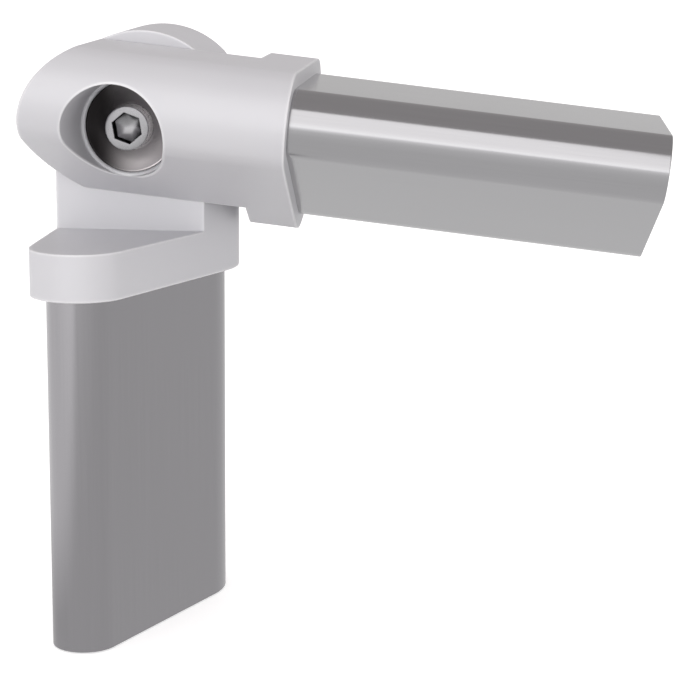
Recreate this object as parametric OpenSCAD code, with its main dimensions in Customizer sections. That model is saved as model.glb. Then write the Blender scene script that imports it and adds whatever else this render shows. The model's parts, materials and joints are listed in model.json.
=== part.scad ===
// Angle joint for a handrail of teardrop section.
// A fixed head plugs into the upright post, a swivel body plugs into the rail, and the two
// lie face to face in a half lap that turns about one clamped pivot bolt.
// Millimetres, +Z up, +Y away from the front, +X along the rail. The pivot axis is parallel to Y.
// The origin is on the post's lower end, under the pivot and in the plane of the lap.

/* [Handrail profile] */
// Radius of the round nose of the teardrop section
nose_r = 10; // [9:0.5:13]
// Radius of the round back of the teardrop section
back_r = 22; // [18:0.5:26]
// Distance between the centres of the nose and back rounds
centre_gap = 58; // [50:1:66]
// Wall of the post and rail tubes
tube_wall = 3; // [2:0.25:3.5]

/* [Post and rail] */
// Length of the post below the fixed head
post_len = 107; // [80:1:300]
// Length of the rail beyond the swivel body
rail_len = 107; // [80:1:300]
// Fall of the rail below level in the drawn position, in degrees
rail_tilt = 6; // [0:0.5:8]

/* [Castings] */
// How far the castings stand out round the tubes
overhang = 4.6; // [3:0.1:6]
// Height of the full-section cap on the post
cap_h = 14; // [10:0.5:20]
// Length of the full-section block at the rail
block_len = 14.8; // [10:0.2:20]
// Radius of the round ends about the pivot
disc_r = 27.2; // [26:0.1:29]
// Height of the pivot above the cap
pivot_rise = 33.6; // [33:0.1:40]
// Distance from the pivot to the block's shoulder
shoulder_x = 34.4; // [33:0.1:40]
// Sideways distance from the post's nose centre to the pivot
pivot_side = 12.2; // [11:0.1:14]
// Height of the rail's nose centre above the pivot
nose_up = 8.6; // [7:0.1:10]
// Thickness of the fixed head's lug
lug_t = 40; // [38:0.5:42]
// Gap between the two lap faces
lap_gap = 0.3; // [0.2:0.1:0.5]

/* [Plugs] */
// Length of each plug inside its tube
plug_len = 30; // [26:1:40]
// Wall of the hollow plugs
plug_wall = 4; // [3:0.25:4.5]
// Clearance between plug and tube all round
plug_gap = 0.15; // [0.1:0.05:0.3]

/* [Pivot bolt] */
// Thread diameter of the pivot bolt
bolt_d = 8; // [7:0.5:9]
// Length of the bolt under its head
bolt_len = 50; // [48:1:52]
// Diameter of the bolt head
head_d = 13; // [12:0.25:14]
// Height of the bolt head
head_h = 8; // [6:0.5:9]
// Width across flats of the hexagon socket
socket_af = 8; // [6:0.5:8.5]
// Depth of the hexagon socket
socket_depth = 5; // [4:0.5:5.5]
// Bevel round the bolt head's face
head_edge = 0.3; // [0.2:0.1:1]
// Depth of the drill point under the socket
socket_point = 2; // [1:0.25:2.5]
// Direction of a corner of the socket, in degrees from +X towards +Z
socket_turn = 40; // [0:1:59]
// Room between the bolt's end and the pocket cover
bolt_room = 3.3; // [2:0.1:4]
// Running clearance round the bolt
bolt_play = 0.05; // [0.02:0.01:0.08]

/* [Bolt recess] */
// Radius of the recess in the swivel body's front
recess_r = 14.8; // [14.6:0.1:15.5]
// Radius of the bore behind the recess that holds the dished washer
dish_bore_r = 13.6; // [13:0.1:14]
// Depth of the washer's bore behind the recess floor
recess_step = 5.5; // [5.2:0.1:7]
// Bevel at the mouth of the washer's bore
bore_lead = 0.5; // [0.3:0.1:0.5]
// Thickness of the dished washer under the bolt head
dish_t = 3.3; // [2.5:0.1:3.6]
// Rise of the dish from its seat to its rim
dish_rise = 1.9; // [1:0.1:2.4]
// Width of the dished washer's flat rim
dish_rim = 0.4; // [0.3:0.1:1]
// Flat seat left round the bolt head
seat_edge = 0.5; // [0.3:0.1:1]
// Clearance round the dished washer
dish_gap = 0.1; // [0.05:0.05:0.2]

/* [Bearing] */
// Outer diameter of the two plain bushes
bush_d = 12; // [11:0.25:13]
// Outer diameter of the friction disc
friction_d = 28; // [26:0.5:29]
// Thickness of the friction disc
friction_t = 1.8; // [1.4:0.1:2.4]
// Depth of the friction disc's recess in the lug
friction_bed = 1; // [0.6:0.1:1.2]
// Axial clearance between friction disc and swivel body
friction_gap = 0.05; // [0.02:0.01:0.1]
// Fitting clearance round bushes, pins and discs
fit_gap = 0.02; // [0.01:0.01:0.05]

/* [Stop] */
// Diameter of the stop pin
pin_d = 4; // [3:0.25:5]
// Distance of the stop pin from the pivot
pin_orbit = 17.8; // [17.6:0.1:18.5]
// Length of the stop pin in the lug
pin_in = 10; // [8:0.5:12]
// Length of the stop pin beyond the lap plane
pin_out = 4; // [3:0.25:5]
// Clearance round the stop pin in its slot
slot_gap = 0.4; // [0.3:0.05:0.6]
// Swing of the rail up from the drawn position, in degrees
swing_up = 96; // [60:1:100]
// Swing of the rail down from the drawn position, in degrees
swing_down = 5; // [0:0.5:6]
// Direction of the stop pin from the pivot, in degrees from +X towards +Z
pin_dir = 230; // [220:1:240]

/* [Nut and springs] */
// Radius of the nut pocket in the lug's back
pocket_r = 12; // [11:0.25:13]
// Depth of the nut pocket
pocket_depth = 19; // [18:0.5:20]
// Outer diameter of the disc springs and the nut washer
washer_d = 16; // [15:0.5:18]
// Thickness of one disc spring
spring_t = 0.9; // [0.7:0.1:1]
// Cone height of one disc spring as clamped
spring_cone = 0.3; // [0.2:0.05:0.4]
// Gap between the inner edges of the two disc springs
spring_gap = 0.1; // [0.05:0.05:0.2]
// Thickness of the nut washer
nut_washer_t = 1.6; // [1.2:0.1:2]
// Width across flats of the nut
nut_af = 13; // [12:0.5:14]
// Height of the nut's hexagon
nut_h = 6.5; // [5:0.5:7]
// Set-in of the nut's locking collar from its flats
collar_inset = 0.6; // [0.4:0.1:1]
// Height of the nut's locking collar
nut_collar = 1.5; // [1:0.1:2]
// Radius of the pocket cover
cover_r = 13.6; // [13.4:0.1:15]
// Thickness of the pocket cover
cover_t = 2; // [1.5:0.1:2.5]
// Depth of the pocket cover's skirt
cover_skirt = 3; // [2:0.5:3]
// Wall of the pocket cover's skirt
cover_wall = 1.5; // [1:0.1:2]

/* [Tube screws] */
// Thread diameter of the tube screws
screw_d = 5; // [4:0.25:6]
// Head diameter of the tube screws
screw_head_d = 9; // [8:0.25:10]
// Depth of a screw head's top under the tube's back
screw_sink = 0.6; // [0.5:0.05:0.8]
// Distance from the tube's end to the first screw
screw_first = 8; // [7:0.5:9]
// Spacing of the two screws of a tube
screw_pitch = 14; // [12:0.5:15]
// Width across flats of the screws' hexagon socket
screw_af = 3; // [2.5:0.25:3.5]
// Length of a tube screw beyond the plug's wall
screw_past = 1; // [0.5:0.25:3]
// Clearance round the tube screws
screw_gap = 0.1; // [0.05:0.05:0.2]

/* [Hidden] */
$fn = 96;
// Room that every cut reaches past the castings
far = 400;
// Stock left beyond a round end before it is cut
margin = 5;
// Small step that makes surfaces cross in a clean edge where they would only touch, as flank and round do
sink = 0.01;
// Half of the angle between the flanks of the teardrop
half_angle = asin((back_r - nose_r) / centre_gap);
// Centre of the back round, from the nose centre
back_c = [centre_gap * sin(half_angle), centre_gap * cos(half_angle)];
// The lap plane lies half way through the section's depth
lap_back = (back_c.y + back_r - nose_r) / 2;
cap_top = post_len + cap_h;
pivot_z = cap_top + pivot_rise;
block_end = shoulder_x + block_len;
plug_in = tube_wall + plug_gap;
// The bolt ends before the cover, so its length sets the head's seat and the recess
bolt_end = lug_t - cover_t - bolt_room;
seat_y = bolt_end - bolt_len;
dish_bed = seat_y + dish_t;
recess_floor = dish_bed - recess_step;
friction_front = friction_bed - friction_t;
spring_y = lug_t - pocket_depth;
spring_h = spring_t + spring_cone;
spring_pair = 2 * spring_h + spring_gap;
nut_washer_y = spring_y + spring_pair;
nut_y = nut_washer_y + nut_washer_t;
hole_r = bolt_d / 2 + bolt_play;
tube_back = back_c.y + back_r - lap_back;
screw_cone = (screw_head_d - screw_d) / 2;
screw_len = plug_in + plug_wall + screw_past;

// Teardrop section about its nose centre: round nose at the front, round back,
// and two flanks tangent to both, the first of them parallel to +Y.
module teardrop(grow) {
    nose = nose_r + grow;
    back = back_r + grow;
    side = [cos(2 * half_angle), -sin(2 * half_angle)];
    circle(nose);
    translate(back_c) circle(back);
    polygon([
        [sink - nose, 0], (nose - sink) * side,
        back_c + (back - sink) * side, back_c + [sink - back, 0]
    ]);
}

// Section of the upright post, seen from above.
module post_section(grow) {
    translate([-pivot_side, -lap_back]) teardrop(grow);
}

// Bar of the rail's section from x0 over a length, in the rail's own frame about the pivot.
module rail_bar(grow, x0, length) {
    translate([x0, 0, 0]) rotate([0, 90, 0]) linear_extrude(length)
        translate([-nose_up, -lap_back]) teardrop(grow);
}

// Places what follows the rail: the pivot's height and the rail's fall.
module at_rail() {
    translate([0, 0, pivot_z]) rotate([0, rail_tilt, 0]) children();
}

module at_pivot() {
    translate([0, 0, pivot_z]) children();
}

// Round bar or hole along +Y about the pivot, from y0 to y1.
module along_y(r, y0, y1) {
    translate([0, y0, 0]) rotate([-90, 0, 0]) cylinder(r = r, h = y1 - y0);
}

// Round bar or hole along +Y about the pivot that tapers from r0 at y0 to r1 at y1.
module cone_y(r0, r1, y0, y1) {
    translate([0, y0, 0]) rotate([-90, 0, 0]) cylinder(r1 = r0, r2 = r1, h = y1 - y0);
}

// Cuts everything outside the round end about the pivot, on the side that dir turns to.
module round_end(dir) {
    rotate([0, dir, 0]) difference() {
        translate([-far, -far, 0]) cube([2 * far, 2 * far, far]);
        along_y(disc_r, -far - 1, far + 1);
    }
}

// The two tube screws' places along a tube whose end is at z = 0 and whose body is below.
module screw_places() {
    for (i = [0, 1])
        translate([0, tube_back, -screw_first - i * screw_pitch]) rotate([90, 0, 0]) children();
}

// One countersunk screw with its head at the origin and its shank towards +Z.
module tube_screw() {
    difference() {
        translate([0, 0, screw_sink]) union() {
            cylinder(r1 = screw_head_d / 2, r2 = screw_d / 2, h = screw_cone);
            cylinder(r = screw_d / 2, h = screw_len);
        }
        cylinder(r = screw_af / 2 / cos(30), h = screw_sink + screw_cone, $fn = 6);
    }
}

// The countersunk hole for such a screw.
module screw_hole() {
    translate([0, 0, -1]) cylinder(r = screw_head_d / 2 + screw_gap, h = 1 + screw_sink);
    translate([0, 0, screw_sink]) {
        cylinder(r1 = screw_head_d / 2 + screw_gap, r2 = screw_d / 2 + screw_gap, h = screw_cone);
        cylinder(r = screw_d / 2 + screw_gap, h = screw_len + 1);
    }
}

// Screws or holes of the post, and of the rail in the rail's frame.
module post_screw_places() {
    translate([back_c.x - pivot_side, 0, post_len]) screw_places() children();
}

module rail_screw_places() {
    translate([block_end, 0, nose_up - back_c.x]) rotate([0, -90, 0]) screw_places() children();
}

module post() {
    color("#8b898c") difference() {
        linear_extrude(post_len) difference() {
            post_section(0);
            post_section(-tube_wall);
        }
        post_screw_places() screw_hole();
    }
}

module rail() {
    color("#b4b4b8") at_rail() difference() {
        rail_bar(0, block_end, rail_len);
        rail_bar(-tube_wall, block_end - 1, rail_len + 2);
        rail_screw_places() screw_hole();
    }
}

// Cap, lug and hollow plug in one casting.
module post_head() {
    color("#d3d3d6") difference() {
        union() {
            difference() {
                translate([0, 0, post_len]) linear_extrude(cap_h + pivot_rise + disc_r + margin)
                    post_section(overhang);
                translate([-far, -far, cap_top]) cube([2 * far, far, far]);
                translate([-far, lug_t, cap_top]) cube([2 * far, far, far]);
                at_pivot() round_end(0);
            }
            translate([0, 0, post_len - plug_len]) linear_extrude(plug_len) post_section(-plug_in);
        }
        translate([0, 0, post_len - plug_len - 1]) linear_extrude(plug_len + 1)
            post_section(-plug_in - plug_wall);
        at_pivot() {
            along_y(bush_d / 2 + fit_gap, -1, lug_t);
            along_y(friction_d / 2 + fit_gap, -1, friction_bed);
            along_y(pocket_r, spring_y, lug_t + 1);
            along_y(cover_r + fit_gap, lug_t - cover_t, lug_t + 1);
            stop_place() along_y(pin_d / 2 + fit_gap, -1, pin_in);
        }
        post_screw_places() screw_hole();
    }
}

// Body, block and hollow plug in one casting, in the rail's frame.
module swivel_body() {
    color("#d3d3d6") at_rail() difference() {
        union() {
            difference() {
                rail_bar(overhang, -disc_r - margin, disc_r + margin + block_end);
                translate([-far, -lap_gap, -far]) cube([far + shoulder_x, far, 2 * far]);
                round_end(-90);
            }
            rail_bar(-plug_in, block_end, plug_len);
        }
        rail_bar(-plug_in - plug_wall, block_end, plug_len + 1);
        along_y(recess_r, -far, recess_floor);
        along_y(dish_bore_r, -far, dish_bed);
        bore_mouth();
        along_y(bush_d / 2 + fit_gap, -far, 0);
        along_y(friction_d / 2 + friction_gap, friction_front - friction_gap, 0);
        stop_slot();
        rail_screw_places() screw_hole();
    }
}

// Bevel round the mouth of the washer's bore.
module bore_mouth() {
    wide = dish_bore_r + bore_lead + sink;
    cone_y(wide, wide - 2 * bore_lead - sink, recess_floor - sink, recess_floor + 2 * bore_lead);
}

// The stop pin's place on the lug, about the pivot.
module stop_place() {
    translate([pin_orbit * cos(pin_dir), 0, pin_orbit * sin(pin_dir)]) children();
}

// Curved slot in the swivel body's lap face that the stop pin runs in: a ring sector between
// the pin's two end places, closed by a round at each.
module stop_slot() {
    slot_r = pin_d / 2 + slot_gap;
    first = pin_dir + rail_tilt - swing_up;
    swing = swing_up + swing_down;
    rotate([90, 0, 0]) linear_extrude(pin_out + slot_gap) {
        for (turn = [first, first + swing])
            rotate(turn) translate([pin_orbit, 0]) circle(slot_r);
        intersection() {
            difference() {
                circle(pin_orbit + slot_r - sink);
                circle(pin_orbit - slot_r + sink);
            }
            polygon([
                [0, 0],
                for (turn = [first, first + swing / 2, first + swing]) far * [cos(turn), sin(turn)]
            ]);
        }
    }
}

module post_screws() {
    color("#77777a") post_screw_places() tube_screw();
}

module rail_screws() {
    color("#77777a") at_rail() rail_screw_places() tube_screw();
}

// Socket-head bolt along the pivot axis, with its head in the recess.
module pivot_bolt() {
    top = seat_y - head_h;
    color("#9a9a9e") at_pivot() difference() {
        union() {
            along_y(head_d / 2, top + head_edge, seat_y);
            cone_y(head_d / 2 - head_edge, head_d / 2, top, top + head_edge);
            along_y(bolt_d / 2, top + head_edge, bolt_end);
        }
        translate([0, top - 1, 0]) rotate([-90, 0, 0]) rotate(-socket_turn)
            cylinder(r = socket_af / 2 / cos(30), h = socket_depth + 1, $fn = 6);
        cone_y(socket_af / 2, 0, top + socket_depth, top + socket_depth + socket_point);
    }
}

// Polished washer with a hollow face that rises from the head's flat seat to its rim. The hollow is
// part of a sphere about the bolt axis, which passes through the seat's edge and the rim's edge.
module dish_washer() {
    rim_r = dish_bore_r - dish_gap;
    bowl_r = rim_r - dish_rim;
    seat_r = head_d / 2 + seat_edge;
    ahead = (dish_rise * dish_rise + bowl_r * bowl_r - seat_r * seat_r) / (2 * dish_rise);
    color("#5c5456") at_rail() difference() {
        along_y(rim_r, seat_y - dish_rise, dish_bed);
        intersection() {
            translate([0, seat_y - ahead, 0]) sphere(norm([ahead, seat_r]));
            along_y(dish_bore_r, -far, seat_y);
        }
        along_y(hole_r, -far, 0);
    }
}

// Plain bush of the bolt between two depths.
module bush(y0, y1) {
    difference() {
        along_y(bush_d / 2, y0, y1);
        along_y(hole_r, y0 - 1, y1 + 1);
    }
}

module body_bush() {
    color("#b59a55") at_rail() bush(dish_bed, friction_front - friction_gap);
}

module lug_bush() {
    color("#b59a55") at_pivot() bush(friction_bed, spring_y);
}

module friction_disc() {
    color("#3a3a3c") at_pivot() difference() {
        along_y(friction_d / 2, friction_front, friction_bed);
        along_y(hole_r, friction_front - 1, friction_bed + 1);
    }
}

module stop_pin() {
    color("#8a8a8e") at_pivot() stop_place() along_y(pin_d / 2, -pin_out, pin_in);
}

// Section of one disc spring, with its outer edge at the lower level.
module spring_section() {
    outer = washer_d / 2;
    polygon([
        [hole_r, spring_cone], [outer, 0],
        [outer, spring_t], [hole_r, spring_cone + spring_t]
    ]);
}

// Two disc springs, inner edge to inner edge.
module disc_springs() {
    color("#6d6d70") at_pivot() translate([0, spring_y, 0]) rotate([-90, 0, 0]) {
        rotate_extrude() spring_section();
        translate([0, 0, spring_pair]) mirror([0, 0, 1]) rotate_extrude() spring_section();
    }
}

module nut_washer() {
    color("#9a9a9e") at_pivot() difference() {
        along_y(washer_d / 2, nut_washer_y, nut_y);
        along_y(hole_r, nut_washer_y - 1, nut_y + 1);
    }
}

// Hexagon nut with a locking collar.
module pivot_nut() {
    color("#9a9a9e") at_pivot() difference() {
        union() {
            translate([0, nut_y, 0]) rotate([-90, 0, 0])
                cylinder(r = nut_af / 2 / cos(30), h = nut_h, $fn = 6);
            along_y(nut_af / 2 - collar_inset, nut_y, nut_y + nut_h + nut_collar);
        }
        along_y(hole_r, nut_y - 1, nut_y + nut_h + nut_collar + 1);
    }
}

// Push-in cover over the nut pocket, flush with the lug's back.
module back_cover() {
    skirt_r = pocket_r - fit_gap;
    color("#c4c4c8") at_pivot() difference() {
        union() {
            along_y(cover_r, lug_t - cover_t, lug_t);
            along_y(skirt_r, lug_t - cover_t - cover_skirt, lug_t);
        }
        along_y(skirt_r - cover_wall, lug_t - far, lug_t - cover_t);
    }
}

post();
post_head();
post_screws();
swivel_body();
rail();
rail_screws();
pivot_bolt();
dish_washer();
body_bush();
lug_bush();
friction_disc();
stop_pin();
disc_springs();
nut_washer();
pivot_nut();
back_cover();
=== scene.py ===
# %% [markdown]
# # A railing angle joint, dressed for the picture
# The joint carries a handrail on a post at any angle: a fixed head sits on the post, a swivel body
# sits in the rail, and one clamped bolt holds the two in a half lap. The solids come from the packed
# model, so this lesson gives them their finishes, makes the two turned parts that need finer work than
# the model has, and sets up the light and the camera. Everything is in metres.

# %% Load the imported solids
import bpy
import json
import math
import numpy as np
from mathutils import Euler, Matrix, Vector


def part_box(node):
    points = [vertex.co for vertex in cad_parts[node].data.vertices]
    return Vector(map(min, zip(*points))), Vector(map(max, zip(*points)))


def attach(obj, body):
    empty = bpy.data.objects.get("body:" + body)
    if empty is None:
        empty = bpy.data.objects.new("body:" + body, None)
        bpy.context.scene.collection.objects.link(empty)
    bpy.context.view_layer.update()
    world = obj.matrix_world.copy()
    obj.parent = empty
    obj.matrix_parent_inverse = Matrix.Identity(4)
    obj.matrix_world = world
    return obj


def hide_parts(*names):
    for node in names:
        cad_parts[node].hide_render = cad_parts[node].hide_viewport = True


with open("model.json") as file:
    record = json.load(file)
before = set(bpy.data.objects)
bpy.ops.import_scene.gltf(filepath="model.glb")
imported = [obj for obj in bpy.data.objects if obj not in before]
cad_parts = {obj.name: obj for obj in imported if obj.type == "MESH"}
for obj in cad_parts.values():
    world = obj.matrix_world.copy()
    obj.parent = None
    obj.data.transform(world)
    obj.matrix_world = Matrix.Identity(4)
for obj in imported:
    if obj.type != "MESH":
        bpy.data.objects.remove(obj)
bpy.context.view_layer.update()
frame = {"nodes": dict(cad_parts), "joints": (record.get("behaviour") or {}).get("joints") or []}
nodes = frame["nodes"]
MM = 0.001
PIVOT = np.array(frame["joints"][0]["pos_m"])
print("pivot in mm:", (PIVOT / MM).round(1).tolist())

# %% [markdown]
# ## Helpers for every finish
# A finish is a small tree of shader nodes. One function turns a colour picked on a screen into the
# linear light that the renderer counts in, one adds a node with its settings and links, one starts a
# material, and one puts a finished material on the solids that share it.

# %% Colours and nodes
def linear(hex_colour):
    """sRGB to linear light: a channel up to 0.04045 is divided by 12.92, and a higher one is
    ((channel + 0.055) / 1.055) to the power 2.4."""
    channel = np.array([int(hex_colour[i:i + 2], 16) for i in (1, 3, 5)]) / 255
    light = np.where(channel <= 0.04045, channel / 12.92, ((channel + 0.055) / 1.055) ** 2.4)
    return (*light.tolist(), 1.0)


def add(tree, kind, inputs=None, **settings):
    """Adds one node, sets its own properties, and fills or links its sockets."""
    node = tree.nodes.new(kind)
    for name, value in settings.items():
        setattr(node, name, value)
    for socket, value in (inputs or {}).items():
        if isinstance(value, bpy.types.NodeSocket):
            tree.links.new(value, node.inputs[socket])
        else:
            node.inputs[socket].default_value = value
    return node


def finish(name):
    """A new, empty material and its tree with the output node."""
    made = bpy.data.materials.new(name)
    made.use_nodes = True
    made.node_tree.nodes.clear()
    return made, made.node_tree, add(made.node_tree, "ShaderNodeOutputMaterial")


def dress(material, *names):
    """Puts one material on each of the named solids."""
    for name in names:
        nodes[name].data.materials.clear()
        nodes[name].data.materials.append(material)
    print(material.name, "on", ", ".join(names))


print("mid grey on a screen is", round(linear("#808080")[0], 3), "of white in linear light")

# %% [markdown]
# ## Powder coat on the castings
# The fixed head and the swivel body are cast and then powder coated in a pale silver: a matt skin with
# a little metal flake in it, a faint orange peel of about a millimetre, and no sharp edges, because
# powder builds up there. The solids do have sharp edges, and their meshes stay as they are, so the
# Bevel node turns the shading normal across each edge within the radius that the coat gives it. The
# peel is bumped on top of that. The outer edges get a painted highlight, a paler colour that stands in
# for the glint a rounded edge catches: Ambient Occlusion that looks into the casting finds them,
# because there the other face is near.

# %% Skin of the powder coat
EDGE_SAMPLES = 8
COAT_RADIUS = 0.8 * MM
PEEL, PEEL_HEIGHT, PEEL_STRENGTH = 1.1 * MM, 0.02 * MM, 0.12
COAT_ROUGH = (0.38, 0.46)

coat, tree, out = finish("powder_coat_pale_silver")
place = add(tree, "ShaderNodeTexCoord").outputs["Object"]
edge = add(tree, "ShaderNodeBevel", {"Radius": COAT_RADIUS}, samples=EDGE_SAMPLES)
peel = add(tree, "ShaderNodeTexNoise", {"Vector": place, "Scale": 1 / PEEL, "Detail": 2.0})
bump = add(tree, "ShaderNodeBump", {
    "Height": peel.outputs["Fac"], "Strength": PEEL_STRENGTH, "Distance": PEEL_HEIGHT,
    "Normal": edge.outputs["Normal"]})
sheen = add(tree, "ShaderNodeMapRange", {
    "Value": peel.outputs["Fac"], "To Min": COAT_ROUGH[0], "To Max": COAT_ROUGH[1]})
print(coat.name, "with an orange peel of", PEEL / MM, "mm")

# %% Tone of the powder coat, with painted edge highlights
CLOUD, COAT_TONES = 30 * MM, ("#cbcbcf", "#d1d1d4")
EDGE_HIGHLIGHT_REACH, EDGE_HIGHLIGHT_AO, EDGE_HIGHLIGHT_TONE = 1.0 * MM, (0.50, 0.92), "#ececee"
FLAKE = 0.14

cloud = add(tree, "ShaderNodeTexNoise", {"Vector": place, "Scale": 1 / CLOUD, "Detail": 3.0})
tone = add(tree, "ShaderNodeValToRGB", {"Fac": cloud.outputs["Fac"]})
tone.color_ramp.elements[0].color = linear(COAT_TONES[0])
tone.color_ramp.elements[1].color = linear(COAT_TONES[1])
# Painted highlight: outer edges, found by Ambient Occlusion inside the casting, are lightened to a paler
# tone.
inward = add(tree, "ShaderNodeAmbientOcclusion", {
    "Distance": EDGE_HIGHLIGHT_REACH}, samples=EDGE_SAMPLES, inside=True, only_local=True)
painted_edge_highlight = add(tree, "ShaderNodeMapRange", {
    "Value": inward.outputs["AO"], "From Min": EDGE_HIGHLIGHT_AO[0], "From Max": EDGE_HIGHLIGHT_AO[1],
    "To Min": 1.0, "To Max": 0.0})
coat_with_edge_highlight = add(tree, "ShaderNodeMix", {
    "Factor": painted_edge_highlight.outputs["Result"], "A": tone.outputs["Color"], "B": linear(EDGE_HIGHLIGHT_TONE)},
    data_type="RGBA")
skin = add(tree, "ShaderNodeBsdfPrincipled", {
    "Base Color": coat_with_edge_highlight.outputs["Result"], "Metallic": FLAKE, "Roughness": sheen.outputs["Result"],
    "Normal": bump.outputs["Normal"]})
tree.links.new(skin.outputs["BSDF"], out.inputs["Surface"])
dress(coat, "post_head", "swivel_body")

# %% [markdown]
# ## Stainless steel tubes
# Both tubes are stainless steel with one grinding direction, along their length. The rail is polished,
# so its round nose mirrors the studio in long bands. The post is left satin and a shade darker. The
# lines are noise stretched along the tube: a few tens of millimetres long and a fraction of a
# millimetre wide, drawn somewhat coarser than the real grit, which wouldn't show. The inside of a tube
# is never ground, so it keeps the dull mill finish. Ambient Occlusion finds it: only there does the
# tube shade itself, once the rays reach right across the section.

# %% Ground steel
TUBE_EDGE = 0.4 * MM
TUBE_REACH, INSIDE_SHADE = 90 * MM, (0.5, 0.9)
MILL_TONE, MILL_ROUGH, MILL_METALLIC = "#b4b3b4", 0.6, 0.2
GRIT_HEIGHT, GRIT_STRENGTH = 0.01 * MM, 0.015


def ground_steel(name, dark, pale, rough, stretch, turn):
    """Steel ground along one direction. The noise is read in a frame turned about Y, whose axes are
    measured in the three lengths of stretch: long along the tube, and one line width across it."""
    steel, tree, out = finish(name)
    place = add(tree, "ShaderNodeTexCoord").outputs["Object"]
    along = add(tree, "ShaderNodeMapping", {
        "Vector": place, "Rotation": (0, turn, 0), "Scale": stretch}, vector_type="TEXTURE")
    grit = add(tree, "ShaderNodeTexNoise", {
        "Vector": along.outputs["Vector"], "Scale": 1.0, "Detail": 4.0})
    tone = add(tree, "ShaderNodeValToRGB", {"Fac": grit.outputs["Fac"]})
    tone.color_ramp.elements[0].color = linear(dark)
    tone.color_ramp.elements[1].color = linear(pale)
    ground = add(tree, "ShaderNodeMapRange", {
        "Value": grit.outputs["Fac"], "To Min": rough[0], "To Max": rough[1]})
    shade = add(tree, "ShaderNodeAmbientOcclusion", {
        "Distance": TUBE_REACH}, samples=EDGE_SAMPLES, only_local=True)
    inside = add(tree, "ShaderNodeMapRange", {
        "Value": shade.outputs["AO"], "From Min": INSIDE_SHADE[0], "From Max": INSIDE_SHADE[1],
        "To Min": 1.0, "To Max": 0.0})
    mill = inside.outputs["Result"]
    colour = add(tree, "ShaderNodeMix", {
        "Factor": mill, "A": tone.outputs["Color"], "B": linear(MILL_TONE)}, data_type="RGBA")
    rub = add(tree, "ShaderNodeMapRange", {
        "Value": mill, "To Min": ground.outputs["Result"], "To Max": MILL_ROUGH})
    bare = add(tree, "ShaderNodeMapRange", {"Value": mill, "To Min": 1.0, "To Max": MILL_METALLIC})
    edge = add(tree, "ShaderNodeBevel", {"Radius": TUBE_EDGE}, samples=EDGE_SAMPLES)
    bump = add(tree, "ShaderNodeBump", {
        "Height": grit.outputs["Fac"], "Strength": GRIT_STRENGTH, "Distance": GRIT_HEIGHT,
        "Normal": edge.outputs["Normal"]})
    metal = add(tree, "ShaderNodeBsdfPrincipled", {
        "Base Color": colour.outputs["Result"], "Metallic": bare.outputs["Result"],
        "Roughness": rub.outputs["Result"], "Normal": bump.outputs["Normal"]})
    tree.links.new(metal.outputs["BSDF"], out.inputs["Surface"])
    return steel


# %% Rail and post
LINE_LENGTH, LINE_WIDTH = 45 * MM, 0.6 * MM
RAIL_FALL = math.radians(6)

polished = ground_steel("stainless_steel_polished", "#afaeb0", "#b7b6b8", (0.13, 0.19),
                        (LINE_LENGTH, LINE_WIDTH, LINE_WIDTH), RAIL_FALL)
satin = ground_steel("stainless_steel_satin", "#9d9b9e", "#a3a1a4", (0.20, 0.25),
                     (LINE_WIDTH, LINE_WIDTH, LINE_LENGTH), 0.0)
dress(polished, "rail")
dress(satin, "post")

# %% [markdown]
# ## The bolt and what it clamps
# The bolt, the screws and the small hidden parts are machined steel, bronze, a friction lining and a
# moulded cover. They differ in tone, shine and grain only, so one function makes all their finishes.

# %% Small machined parts
SMALL_EDGE = 0.2 * MM
ROUGH_SPREAD, TONE_SPREAD = 0.2, 0.06


def machined(name, colour, metallic, rough, grain):
    """A turned, rolled or moulded part: its tone and roughness wander with noise of the given grain."""
    part, tree, out = finish(name)
    place = add(tree, "ShaderNodeTexCoord").outputs["Object"]
    noise = add(tree, "ShaderNodeTexNoise", {"Vector": place, "Scale": 1 / grain, "Detail": 3.0})
    rub = add(tree, "ShaderNodeMapRange", {
        "Value": noise.outputs["Fac"],
        "To Min": rough * (1 - ROUGH_SPREAD), "To Max": rough * (1 + ROUGH_SPREAD)})
    shade = add(tree, "ShaderNodeMapRange", {
        "Value": noise.outputs["Fac"], "To Min": 1 - TONE_SPREAD, "To Max": 1 + TONE_SPREAD})
    tint = add(tree, "ShaderNodeMix", {
        "Factor": 1.0, "A": linear(colour), "B": shade.outputs["Result"]},
        data_type="RGBA", blend_type="MULTIPLY")
    edge = add(tree, "ShaderNodeBevel", {"Radius": SMALL_EDGE}, samples=EDGE_SAMPLES)
    body = add(tree, "ShaderNodeBsdfPrincipled", {
        "Base Color": tint.outputs["Result"], "Metallic": metallic,
        "Roughness": rub.outputs["Result"], "Normal": edge.outputs["Normal"]})
    tree.links.new(body.outputs["BSDF"], out.inputs["Surface"])
    return part


# %% Finishes of the small parts
# Turned stainless steel: mid grey with a soft shine.
bolt_steel = machined("stainless_bolt_steel", "#9a999b", 1.0, 0.28, 1.5 * MM)
# Walls of the bolt's socket: painted shade, near black, standing in for the shade deep in the socket.
socket_painted_shade = machined("steel_painted_socket_shade", "#1c1a1b", 1.0, 0.30, 0.8 * MM)
# Cone that the drill left in the socket: clean, and smoother than the bolt.
drilled_steel = machined("drilled_steel", "#9a999b", 1.0, 0.24, 0.8 * MM)
# Sintered bronze: a dull yellow, because the metal is full of pores.
bronze = machined("sintered_bronze", "#b59a55", 1.0, 0.42, 0.6 * MM)
# Moulded friction lining: dark grey, with hardly any shine.
lining = machined("moulded_friction_lining", "#3a3a3c", 0.0, 0.65, 0.5 * MM)
# Hardened spring steel under a film of oil: a darker grey.
spring_steel = machined("spring_steel_oiled", "#6d6d70", 1.0, 0.30, 1.0 * MM)
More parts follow.
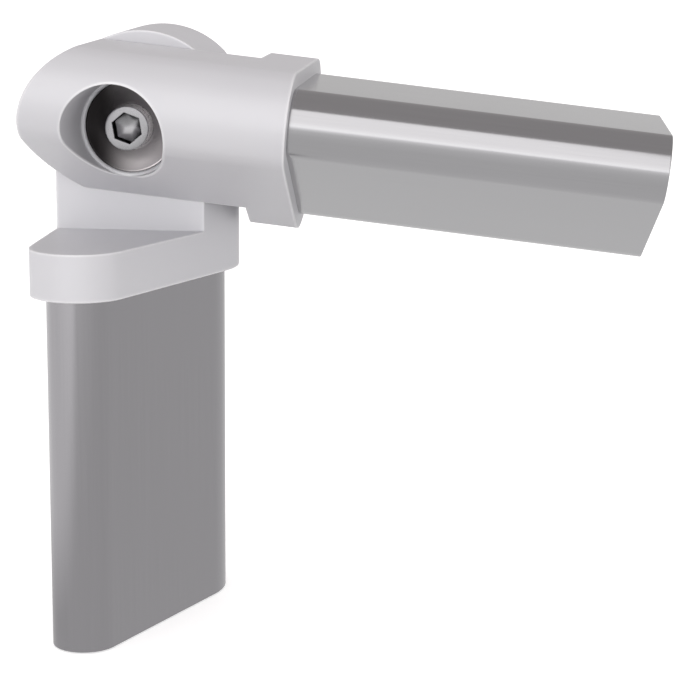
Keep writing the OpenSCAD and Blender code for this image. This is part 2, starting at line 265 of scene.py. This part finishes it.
# Moulded cover: the colour of the castings with the even sheen of plastic.
cover_plastic = machined("moulded_cover_plastic", "#c6c6c9", 0.0, 0.45, 0.9 * MM)

dress(bolt_steel, "post_screws", "rail_screws", "nut_washer", "pivot_nut", "stop_pin")
dress(bronze, "body_bush", "lug_bush")
dress(lining, "friction_disc")
dress(spring_steel, "disc_springs")
dress(cover_plastic, "back_cover")

# %% [markdown]
# ## Turned parts about the bolt axis
# The polished washer and the socket-head bolt are lathe work, so both are made as one grid: rows follow
# the outline and columns go round the axis. The radius may change with the column too, which is enough
# for a hexagon and for a thread. The flat facets of the solids would break up a mirror, and this
# doesn't have them.

# %% A lathe in numpy
# A turned part looks smooth, except where two of its faces meet more sharply than this.
CREASE = math.radians(32)


def turned(name, radius, depth, angle, tips=None):
    """Point (row, column) is radius from the pivot axis in the direction of the column's angle, from +X
    towards +Z, and depth along +Y. Columns close round the axis. With tips, the outline starts and
    ends in points on the axis at those two depths, and without, the last row joins the first."""
    rows, columns = radius.shape
    points = np.stack([radius * np.cos(angle), depth, radius * np.sin(angle)], axis=-1).reshape(-1, 3)
    here = np.arange(rows * columns).reshape(rows, columns)
    if tips is None:
        here = np.vstack([here, here[:1]])
    beside = np.roll(here, -1, axis=1)
    faces = np.stack([here[:-1], here[1:], beside[1:], beside[:-1]], axis=-1).reshape(-1, 4).tolist()
    if tips is not None:
        ends = len(points) + np.arange(2)
        points = np.vstack([points, [[0, tips[0], 0], [0, tips[1], 0]]])
        faces += np.stack([np.full(columns, ends[0]), here[0], beside[0]], axis=-1).tolist()
        faces += np.stack([np.full(columns, ends[1]), beside[-1], here[-1]], axis=-1).tolist()
    mesh = bpy.data.meshes.new(name)
    mesh.from_pydata((points + [PIVOT[0], 0, PIVOT[2]]).tolist(), [], faces)
    mesh.shade_smooth()
    mesh.set_sharp_from_angle(angle=CREASE)
    piece = bpy.data.objects.new(name, mesh)
    bpy.context.scene.collection.objects.link(piece)
    print(name, "has", len(faces), "faces")
    return piece


# %% Rounded edges for an outline
def rounding(centre, radius, start, stop, steps=5):
    """Rows of a rounded edge: radius and depth on an arc about a centre, by the angle from +r to +y."""
    turn = np.radians(np.linspace(start, stop, steps))
    return np.stack([centre[0] + radius * np.cos(turn), centre[1] + radius * np.sin(turn)], axis=-1)


print("a quarter round takes", len(rounding((0, 0), MM, 0, 90)), "rows")

# %% [markdown]
# ### Dished washer
# The washer's hollow is part of a sphere that meets the flat seat of the bolt head and the narrow rim.
# Its outer size and place are those of its solid. It is polished steel with a painted reflection: near
# black on one side, as if it mirrored the dark recess, turning to pale steel towards the rail.

# %% Washer steel with a painted reflection
PAINTED_REFLECTION_SPAN = 9 * MM
SPOT = 2 * MM
PAINTED_DARK_TONE, PAINTED_PALE_TONE = "#141011", "#cdc8c9"
DISH_ROUGH = (0.16, 0.26)
DISH_METALLIC = 0.7

dish_steel, tree, out = finish("polished_steel_painted_reflection")
place = add(tree, "ShaderNodeTexCoord").outputs["Object"]
spots = add(tree, "ShaderNodeTexNoise", {"Vector": place, "Scale": 1 / SPOT, "Detail": 3.0})
side = add(tree, "ShaderNodeSeparateXYZ", {"Vector": place})
# Painted reflection: the colour runs from dark to pale across X, standing in for what the dish would
# mirror.
painted_reflection = add(tree, "ShaderNodeMapRange", {
    "Value": side.outputs["X"], "From Min": -PAINTED_REFLECTION_SPAN, "From Max": PAINTED_REFLECTION_SPAN},
    interpolation_type="SMOOTHSTEP")
tone = add(tree, "ShaderNodeMix", {
    "Factor": painted_reflection.outputs["Result"], "A": linear(PAINTED_DARK_TONE), "B": linear(PAINTED_PALE_TONE)},
    data_type="RGBA")
rub = add(tree, "ShaderNodeMapRange", {
    "Value": spots.outputs["Fac"], "To Min": DISH_ROUGH[0], "To Max": DISH_ROUGH[1]})
skin = add(tree, "ShaderNodeBsdfPrincipled", {
    "Base Color": tone.outputs["Result"], "Metallic": DISH_METALLIC, "Roughness": rub.outputs["Result"]})
tree.links.new(skin.outputs["BSDF"], out.inputs["Surface"])
print(dish_steel.name)

# %% Dished washer
HEAD_H = 8 * MM
SHANK_R = 4 * MM
BORE_R = SHANK_R + 0.05 * MM
SEAT_R = 7 * MM
RIM_FLAT = 0.4 * MM
RIM_ROUND = 0.15 * MM
HOLLOW_ROWS, DISH_COLUMNS = 40, 192

low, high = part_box("dish_washer")
bolt_low, bolt_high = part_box("pivot_bolt")
rim_r, rim_y, bed_y = (high.z - low.z) / 2, low.y, high.y
face_y, bolt_end = bolt_low.y, bolt_high.y
seat_y = face_y + HEAD_H
# The sphere's centre lies ahead of the seat: it is as far from the seat's edge as from the bowl's.
bowl_r, rise = rim_r - RIM_FLAT, seat_y - rim_y
ahead = (rise ** 2 + bowl_r ** 2 - SEAT_R ** 2) / (2 * rise)
hollow = np.linspace(SEAT_R, bowl_r, HOLLOW_ROWS)
outline = np.vstack([
    [(BORE_R, seat_y)],
    np.stack([hollow, seat_y - ahead + np.sqrt(ahead ** 2 + SEAT_R ** 2 - hollow ** 2)], axis=-1),
    rounding((rim_r - RIM_ROUND, rim_y + RIM_ROUND), RIM_ROUND, -90, 0),
    rounding((rim_r - RIM_ROUND, bed_y - RIM_ROUND), RIM_ROUND, 0, 90),
    [(BORE_R, bed_y)],
])
angle = np.linspace(0, 2 * math.pi, DISH_COLUMNS, endpoint=False)
ones = np.ones_like(angle)
dish = turned("dish_washer_polished", outline[:, :1] * ones, outline[:, 1:] * ones, angle)
dish.data.materials.append(dish_steel)
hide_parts("dish_washer")
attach(dish, "rail_side")

# %% [markdown]
# ### Socket-head bolt
# The outline starts at the drill point in the socket, climbs the hexagon's walls to the face, goes over
# the rounded edge of the head, and runs down the shank to the thread. A hexagon is a radius that
# changes with the angle, and a thread is a groove whose place along the axis advances with the angle.

# %% Socket and head
SOCKET_AF = 8 * MM
SOCKET_DEPTH = 4.4 * MM
DRILL_POINT = 3 * MM
SOCKET_CORNER = math.radians(40)
MOUTH_BEVEL = 0.15 * MM
HEAD_ROUND = 0.3 * MM
SIDE_STEPS = 16

angle = SOCKET_CORNER + np.linspace(0, 2 * math.pi, 6 * SIDE_STEPS, endpoint=False)
ones = np.ones_like(angle)
flat = SOCKET_AF / 2
corner_r = flat / math.cos(math.pi / 6)
# A side's radius is the flat's distance over the cosine of the angle from the middle of that side.
hexagon = flat / np.cos((angle - SOCKET_CORNER) % (math.pi / 3) - math.pi / 6)
head_r = (bolt_high.z - bolt_low.z) / 2
socket = [
    (hexagon, face_y + SOCKET_DEPTH + DRILL_POINT * (1 - hexagon / corner_r)),
    (hexagon, (face_y + MOUTH_BEVEL) * ones),
    (hexagon + MOUTH_BEVEL, face_y * ones),
]
head = np.vstack([
    rounding((head_r - HEAD_ROUND, face_y + HEAD_ROUND), HEAD_ROUND, -90, 0),
    rounding((head_r - HEAD_ROUND, seat_y - HEAD_ROUND), HEAD_ROUND, 0, 90),
    rounding((SHANK_R + HEAD_ROUND, seat_y + HEAD_ROUND), HEAD_ROUND, -90, -180),
])
print("head", round(2 * head_r / MM, 1), "mm across, socket", round(SOCKET_AF / MM, 1), "mm")

# %% Thread
PITCH, PITCH_STEPS = 1.25 * MM, 8
THREAD_DEPTH = 0.68 * MM
THREAD_LENGTH = 22 * MM
THREAD_FLAT = 0.125
END_BEVEL = 1.0 * MM

thread_y = np.arange(bolt_end - THREAD_LENGTH, bolt_end, PITCH / PITCH_STEPS)[:, None]
# The phase goes from 0 to 1 over a pitch. The crest and the root each have a flat, and the groove's
# flanks are straight between them. It runs in over the first pitch and ends in a bevel.
phase = ((thread_y / PITCH) - angle / (2 * math.pi)) % 1
groove = THREAD_DEPTH * np.clip((np.abs(2 * phase - 1) - THREAD_FLAT) / (1 - 2 * THREAD_FLAT), 0, 1)
run_in = np.clip((thread_y - thread_y[0]) / PITCH, 0, 1)
taper = np.clip((thread_y - bolt_end + END_BEVEL) / END_BEVEL, 0, 1) * THREAD_DEPTH
thread_r = SHANK_R - np.maximum(groove * run_in, taper)
print("thread of", round(THREAD_LENGTH / PITCH, 1), "turns")

# %% Socket-head bolt
WALLS_SLOT, CONE_SLOT = 1, 2

radius = np.vstack([[r for r, y in socket], head[:, :1] * ones, thread_r])
depth = np.vstack([[y for r, y in socket], head[:, 1:] * ones, thread_y * ones])
tips = (face_y + SOCKET_DEPTH + DRILL_POINT, bolt_end)
bolt = turned("pivot_bolt_threaded", radius, depth, angle, tips)
for steel in (bolt_steel, socket_painted_shade, drilled_steel):
    bolt.data.materials.append(steel)
# The first ring of faces is the socket's walls, and the last but one is the cone at its bottom.
ring = len(angle)
finish_of_face = np.zeros(len(bolt.data.polygons), np.int32)
finish_of_face[:ring] = WALLS_SLOT
finish_of_face[-2 * ring:-ring] = CONE_SLOT
bolt.data.polygons.foreach_set("material_index", finish_of_face)
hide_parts("pivot_bolt")
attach(bolt, "fixed_side")

# %% [markdown]
# ## Studio
# The picture is a white studio: a pale floor, a pale surround that metal mirrors too, and soft panels in
# front. The surround darkens overhead to a slightly warm ceiling, which gives the polished rail its dark
# band. Matt faces need more fill than the shine does, so rays that leave a matt face meet a brighter
# surround, a little more so on the left. The camera itself sees plain white.

# %% Ceiling
# The ramp goes by the sine of the height above the horizon: each pair is a sine and a brightness.
HORIZON, ZENITH = 0.82, 0.44
CEILING = ((0.20, 0.44), (0.45, 0.40), (0.85, 0.43))
WARMTH = np.array([1.02, 0.985, 0.985])

world = bpy.data.worlds.new("studio")
bpy.context.scene.world = world
world.use_nodes = True
tree = world.node_tree
tree.nodes.clear()
direction = add(tree, "ShaderNodeTexCoord").outputs["Generated"]
heading = add(tree, "ShaderNodeSeparateXYZ", {"Vector": direction})
ceiling = add(tree, "ShaderNodeValToRGB", {"Fac": heading.outputs["Z"]})
ceiling.color_ramp.elements[0].color = (HORIZON, HORIZON, HORIZON, 1)
ceiling.color_ramp.elements[1].color = (*(ZENITH * WARMTH), 1)
for sine, level in CEILING:
    ceiling.color_ramp.elements.new(sine).color = (*(level * WARMTH), 1)
print("surround:", HORIZON, "at the horizon and", ZENITH, "overhead")

# %% What each ray meets
WHITE = (1, 1, 1, 1)
LEFT_FILL, RIGHT_FILL = 2.42, 2.10

ray = add(tree, "ShaderNodeLightPath")
sides = add(tree, "ShaderNodeMapRange", {
    "Value": heading.outputs["X"], "From Min": -1.0, "To Min": LEFT_FILL, "To Max": RIGHT_FILL})
fill = add(tree, "ShaderNodeMapRange", {
    "Value": ray.outputs["Is Diffuse Ray"], "To Min": 1.0, "To Max": sides.outputs["Result"]})
room = add(tree, "ShaderNodeBackground", {
    "Color": ceiling.outputs["Color"], "Strength": fill.outputs["Result"]})
backdrop = add(tree, "ShaderNodeBackground", {"Color": WHITE, "Strength": 1.0})
shown = add(tree, "ShaderNodeMixShader", {
    0: ray.outputs["Is Camera Ray"], 1: room.outputs[0], 2: backdrop.outputs[0]})
add(tree, "ShaderNodeOutputWorld", {"Surface": shown.outputs[0]})
bpy.context.scene.view_settings.view_transform = "Standard"
print("matt faces see it", LEFT_FILL, "times as bright on the left,", RIGHT_FILL, "on the right")

# %% [markdown]
# ### Floor
# The floor lies just below the post's foot and takes the object's shadow. For the camera it glows a
# little, which brings it up to the white of the surround. Metal would mirror the floor's shadows, so the
# rays that leave metal see an even, pale floor instead. That glow is brighter on the left, a painted
# reflection of a white card that isn't there, and towards the foot of the panels, a painted pool of the
# light they would spill onto it.

# %% Floor
FLOOR_HALF = 6.0
FLOOR_DROP = 0.5 * MM

square = FLOOR_HALF * np.array([(-1, -1, 0), (1, -1, 0), (1, 1, 0), (-1, 1, 0)])
floor_mesh = bpy.data.meshes.new("floor")
floor_mesh.from_pydata(square.tolist(), [], [(0, 1, 2, 3)])
floor = bpy.data.objects.new("floor", floor_mesh)
bpy.context.scene.collection.objects.link(floor)
floor.location.z = -FLOOR_DROP
print("floor at", floor.location.z / MM, "mm")

# %% Floor as the camera sees it
FLOOR_GREY = (0.85, 0.85, 0.85, 1)
CAMERA_GLOW = 0.50

pale, tree, out = finish("pale_floor")
ray = add(tree, "ShaderNodeLightPath")
lit = add(tree, "ShaderNodeBsdfDiffuse", {"Color": FLOOR_GREY})
camera_glow = add(tree, "ShaderNodeMath", {
    0: ray.outputs["Is Camera Ray"], 1: CAMERA_GLOW}, operation="MULTIPLY")
glow = add(tree, "ShaderNodeEmission", {"Color": WHITE, "Strength": camera_glow.outputs[0]})
seen = add(tree, "ShaderNodeAddShader", {0: lit.outputs[0], 1: glow.outputs[0]})
print(pale.name, "glows by", CAMERA_GLOW)

# %% Floor as metal mirrors it
MIRRORED, PAINTED_CARD_GLOW = 0.745, 1.12
CARD_FULL, CARD_EDGE = -0.16, -0.05
SPILL_FULL, SPILL_END, PAINTED_SPILL_GLOW = -1.40, -0.20, 1.43

place = add(tree, "ShaderNodeTexCoord").outputs["Object"]
spot = add(tree, "ShaderNodeSeparateXYZ", {"Vector": place})
# Painted light: the floor glows brighter on the left and towards the panels' foot, for mirrored rays
# only.
painted_card_glow = add(tree, "ShaderNodeMapRange", {
    "Value": spot.outputs["X"], "From Min": CARD_FULL, "From Max": CARD_EDGE,
    "To Min": PAINTED_CARD_GLOW, "To Max": MIRRORED})
painted_spill_glow = add(tree, "ShaderNodeMapRange", {
    "Value": spot.outputs["Y"], "From Min": SPILL_FULL, "From Max": SPILL_END,
    "To Min": PAINTED_SPILL_GLOW, "To Max": 1.0})
strength = add(tree, "ShaderNodeMath", {
    0: painted_card_glow.outputs["Result"], 1: painted_spill_glow.outputs["Result"]}, operation="MULTIPLY")
mirror = add(tree, "ShaderNodeEmission", {"Color": WHITE, "Strength": strength.outputs[0]})
mirrored = add(tree, "ShaderNodeMath", {
    0: ray.outputs["Is Glossy Ray"], 1: ray.outputs["Is Transmission Ray"]}, use_clamp=True)
surface = add(tree, "ShaderNodeMixShader", {
    0: mirrored.outputs[0], 1: seen.outputs[0], 2: mirror.outputs[0]})
tree.links.new(surface.outputs[0], out.inputs["Surface"])
floor_mesh.materials.append(pale)
print(pale.name, "on", floor.name)

# %% [markdown]
# ### Panels in front
# A panel as tall as a window gives the rail its bright band. If it lit the castings too, it would bleach
# their round noses before their flat fronts are bright enough, so only shine shows it. A lower, wider
# panel in the same plane lights the matt faces.

# %% Soft panels
PANEL_Y = -1.5
FACING_OBJECT = (math.pi / 2, 0, 0)


def panel(name, x, z, width, height, radiance, mirrored):
    """A rectangular soft light in front of the object, facing +Y. Its power is pi times its area times
    the radiance that a mirror would show. It is either mirrored by shine or it lights matt faces."""
    light = bpy.data.lights.new(name, "AREA")
    light.shape = "RECTANGLE"
    light.size, light.size_y = width, height
    light.energy = math.pi * width * height * radiance
    lamp = bpy.data.objects.new(name, light)
    bpy.context.scene.collection.objects.link(lamp)
    lamp.location = (x, PANEL_Y, z)
    lamp.rotation_euler = FACING_OBJECT
    lamp.visible_glossy = mirrored
    lamp.visible_diffuse = not mirrored
    print(name, "gives", round(light.energy, 1), "W")


panel("front_panel", x=-0.18, z=1.17, width=1.5, height=2.10, radiance=1.18, mirrored=True)
panel("low_panel", x=0.0, z=0.42, width=2.0, height=0.84, radiance=1.40, mirrored=False)

# %% [markdown]
# ## Camera
# The photograph was taken with a rising front, which keeps the post's edges upright. A plain camera
# that is drawn back, with a longer lens, a tilt of some 12 degrees and under a degree of roll, comes
# within about 1% of the frame of it, and keeps the other views centred.

# %% Camera
FRAME_PX, SENSOR = 696, 36.0
FOCAL_PX = 2032.3
CAMERA_PLACE = (115.9 * MM, -610.0 * MM, 216.6 * MM)
YAW, TILT, ROLL = math.radians(4.90), math.radians(12.06), math.radians(0.57)

lens = bpy.data.cameras.new("camera")
lens.sensor_width = SENSOR
lens.lens = SENSOR * FOCAL_PX / FRAME_PX
camera = bpy.data.objects.new("camera", lens)
bpy.context.scene.collection.objects.link(camera)
camera.location = CAMERA_PLACE
upright = Euler((math.pi / 2 - TILT, 0, YAW)).to_matrix()
camera.rotation_euler = (upright @ Matrix.Rotation(ROLL, 3, "Z")).to_euler()
bpy.context.scene.camera = camera
print("lens in mm:", round(lens.lens, 1))
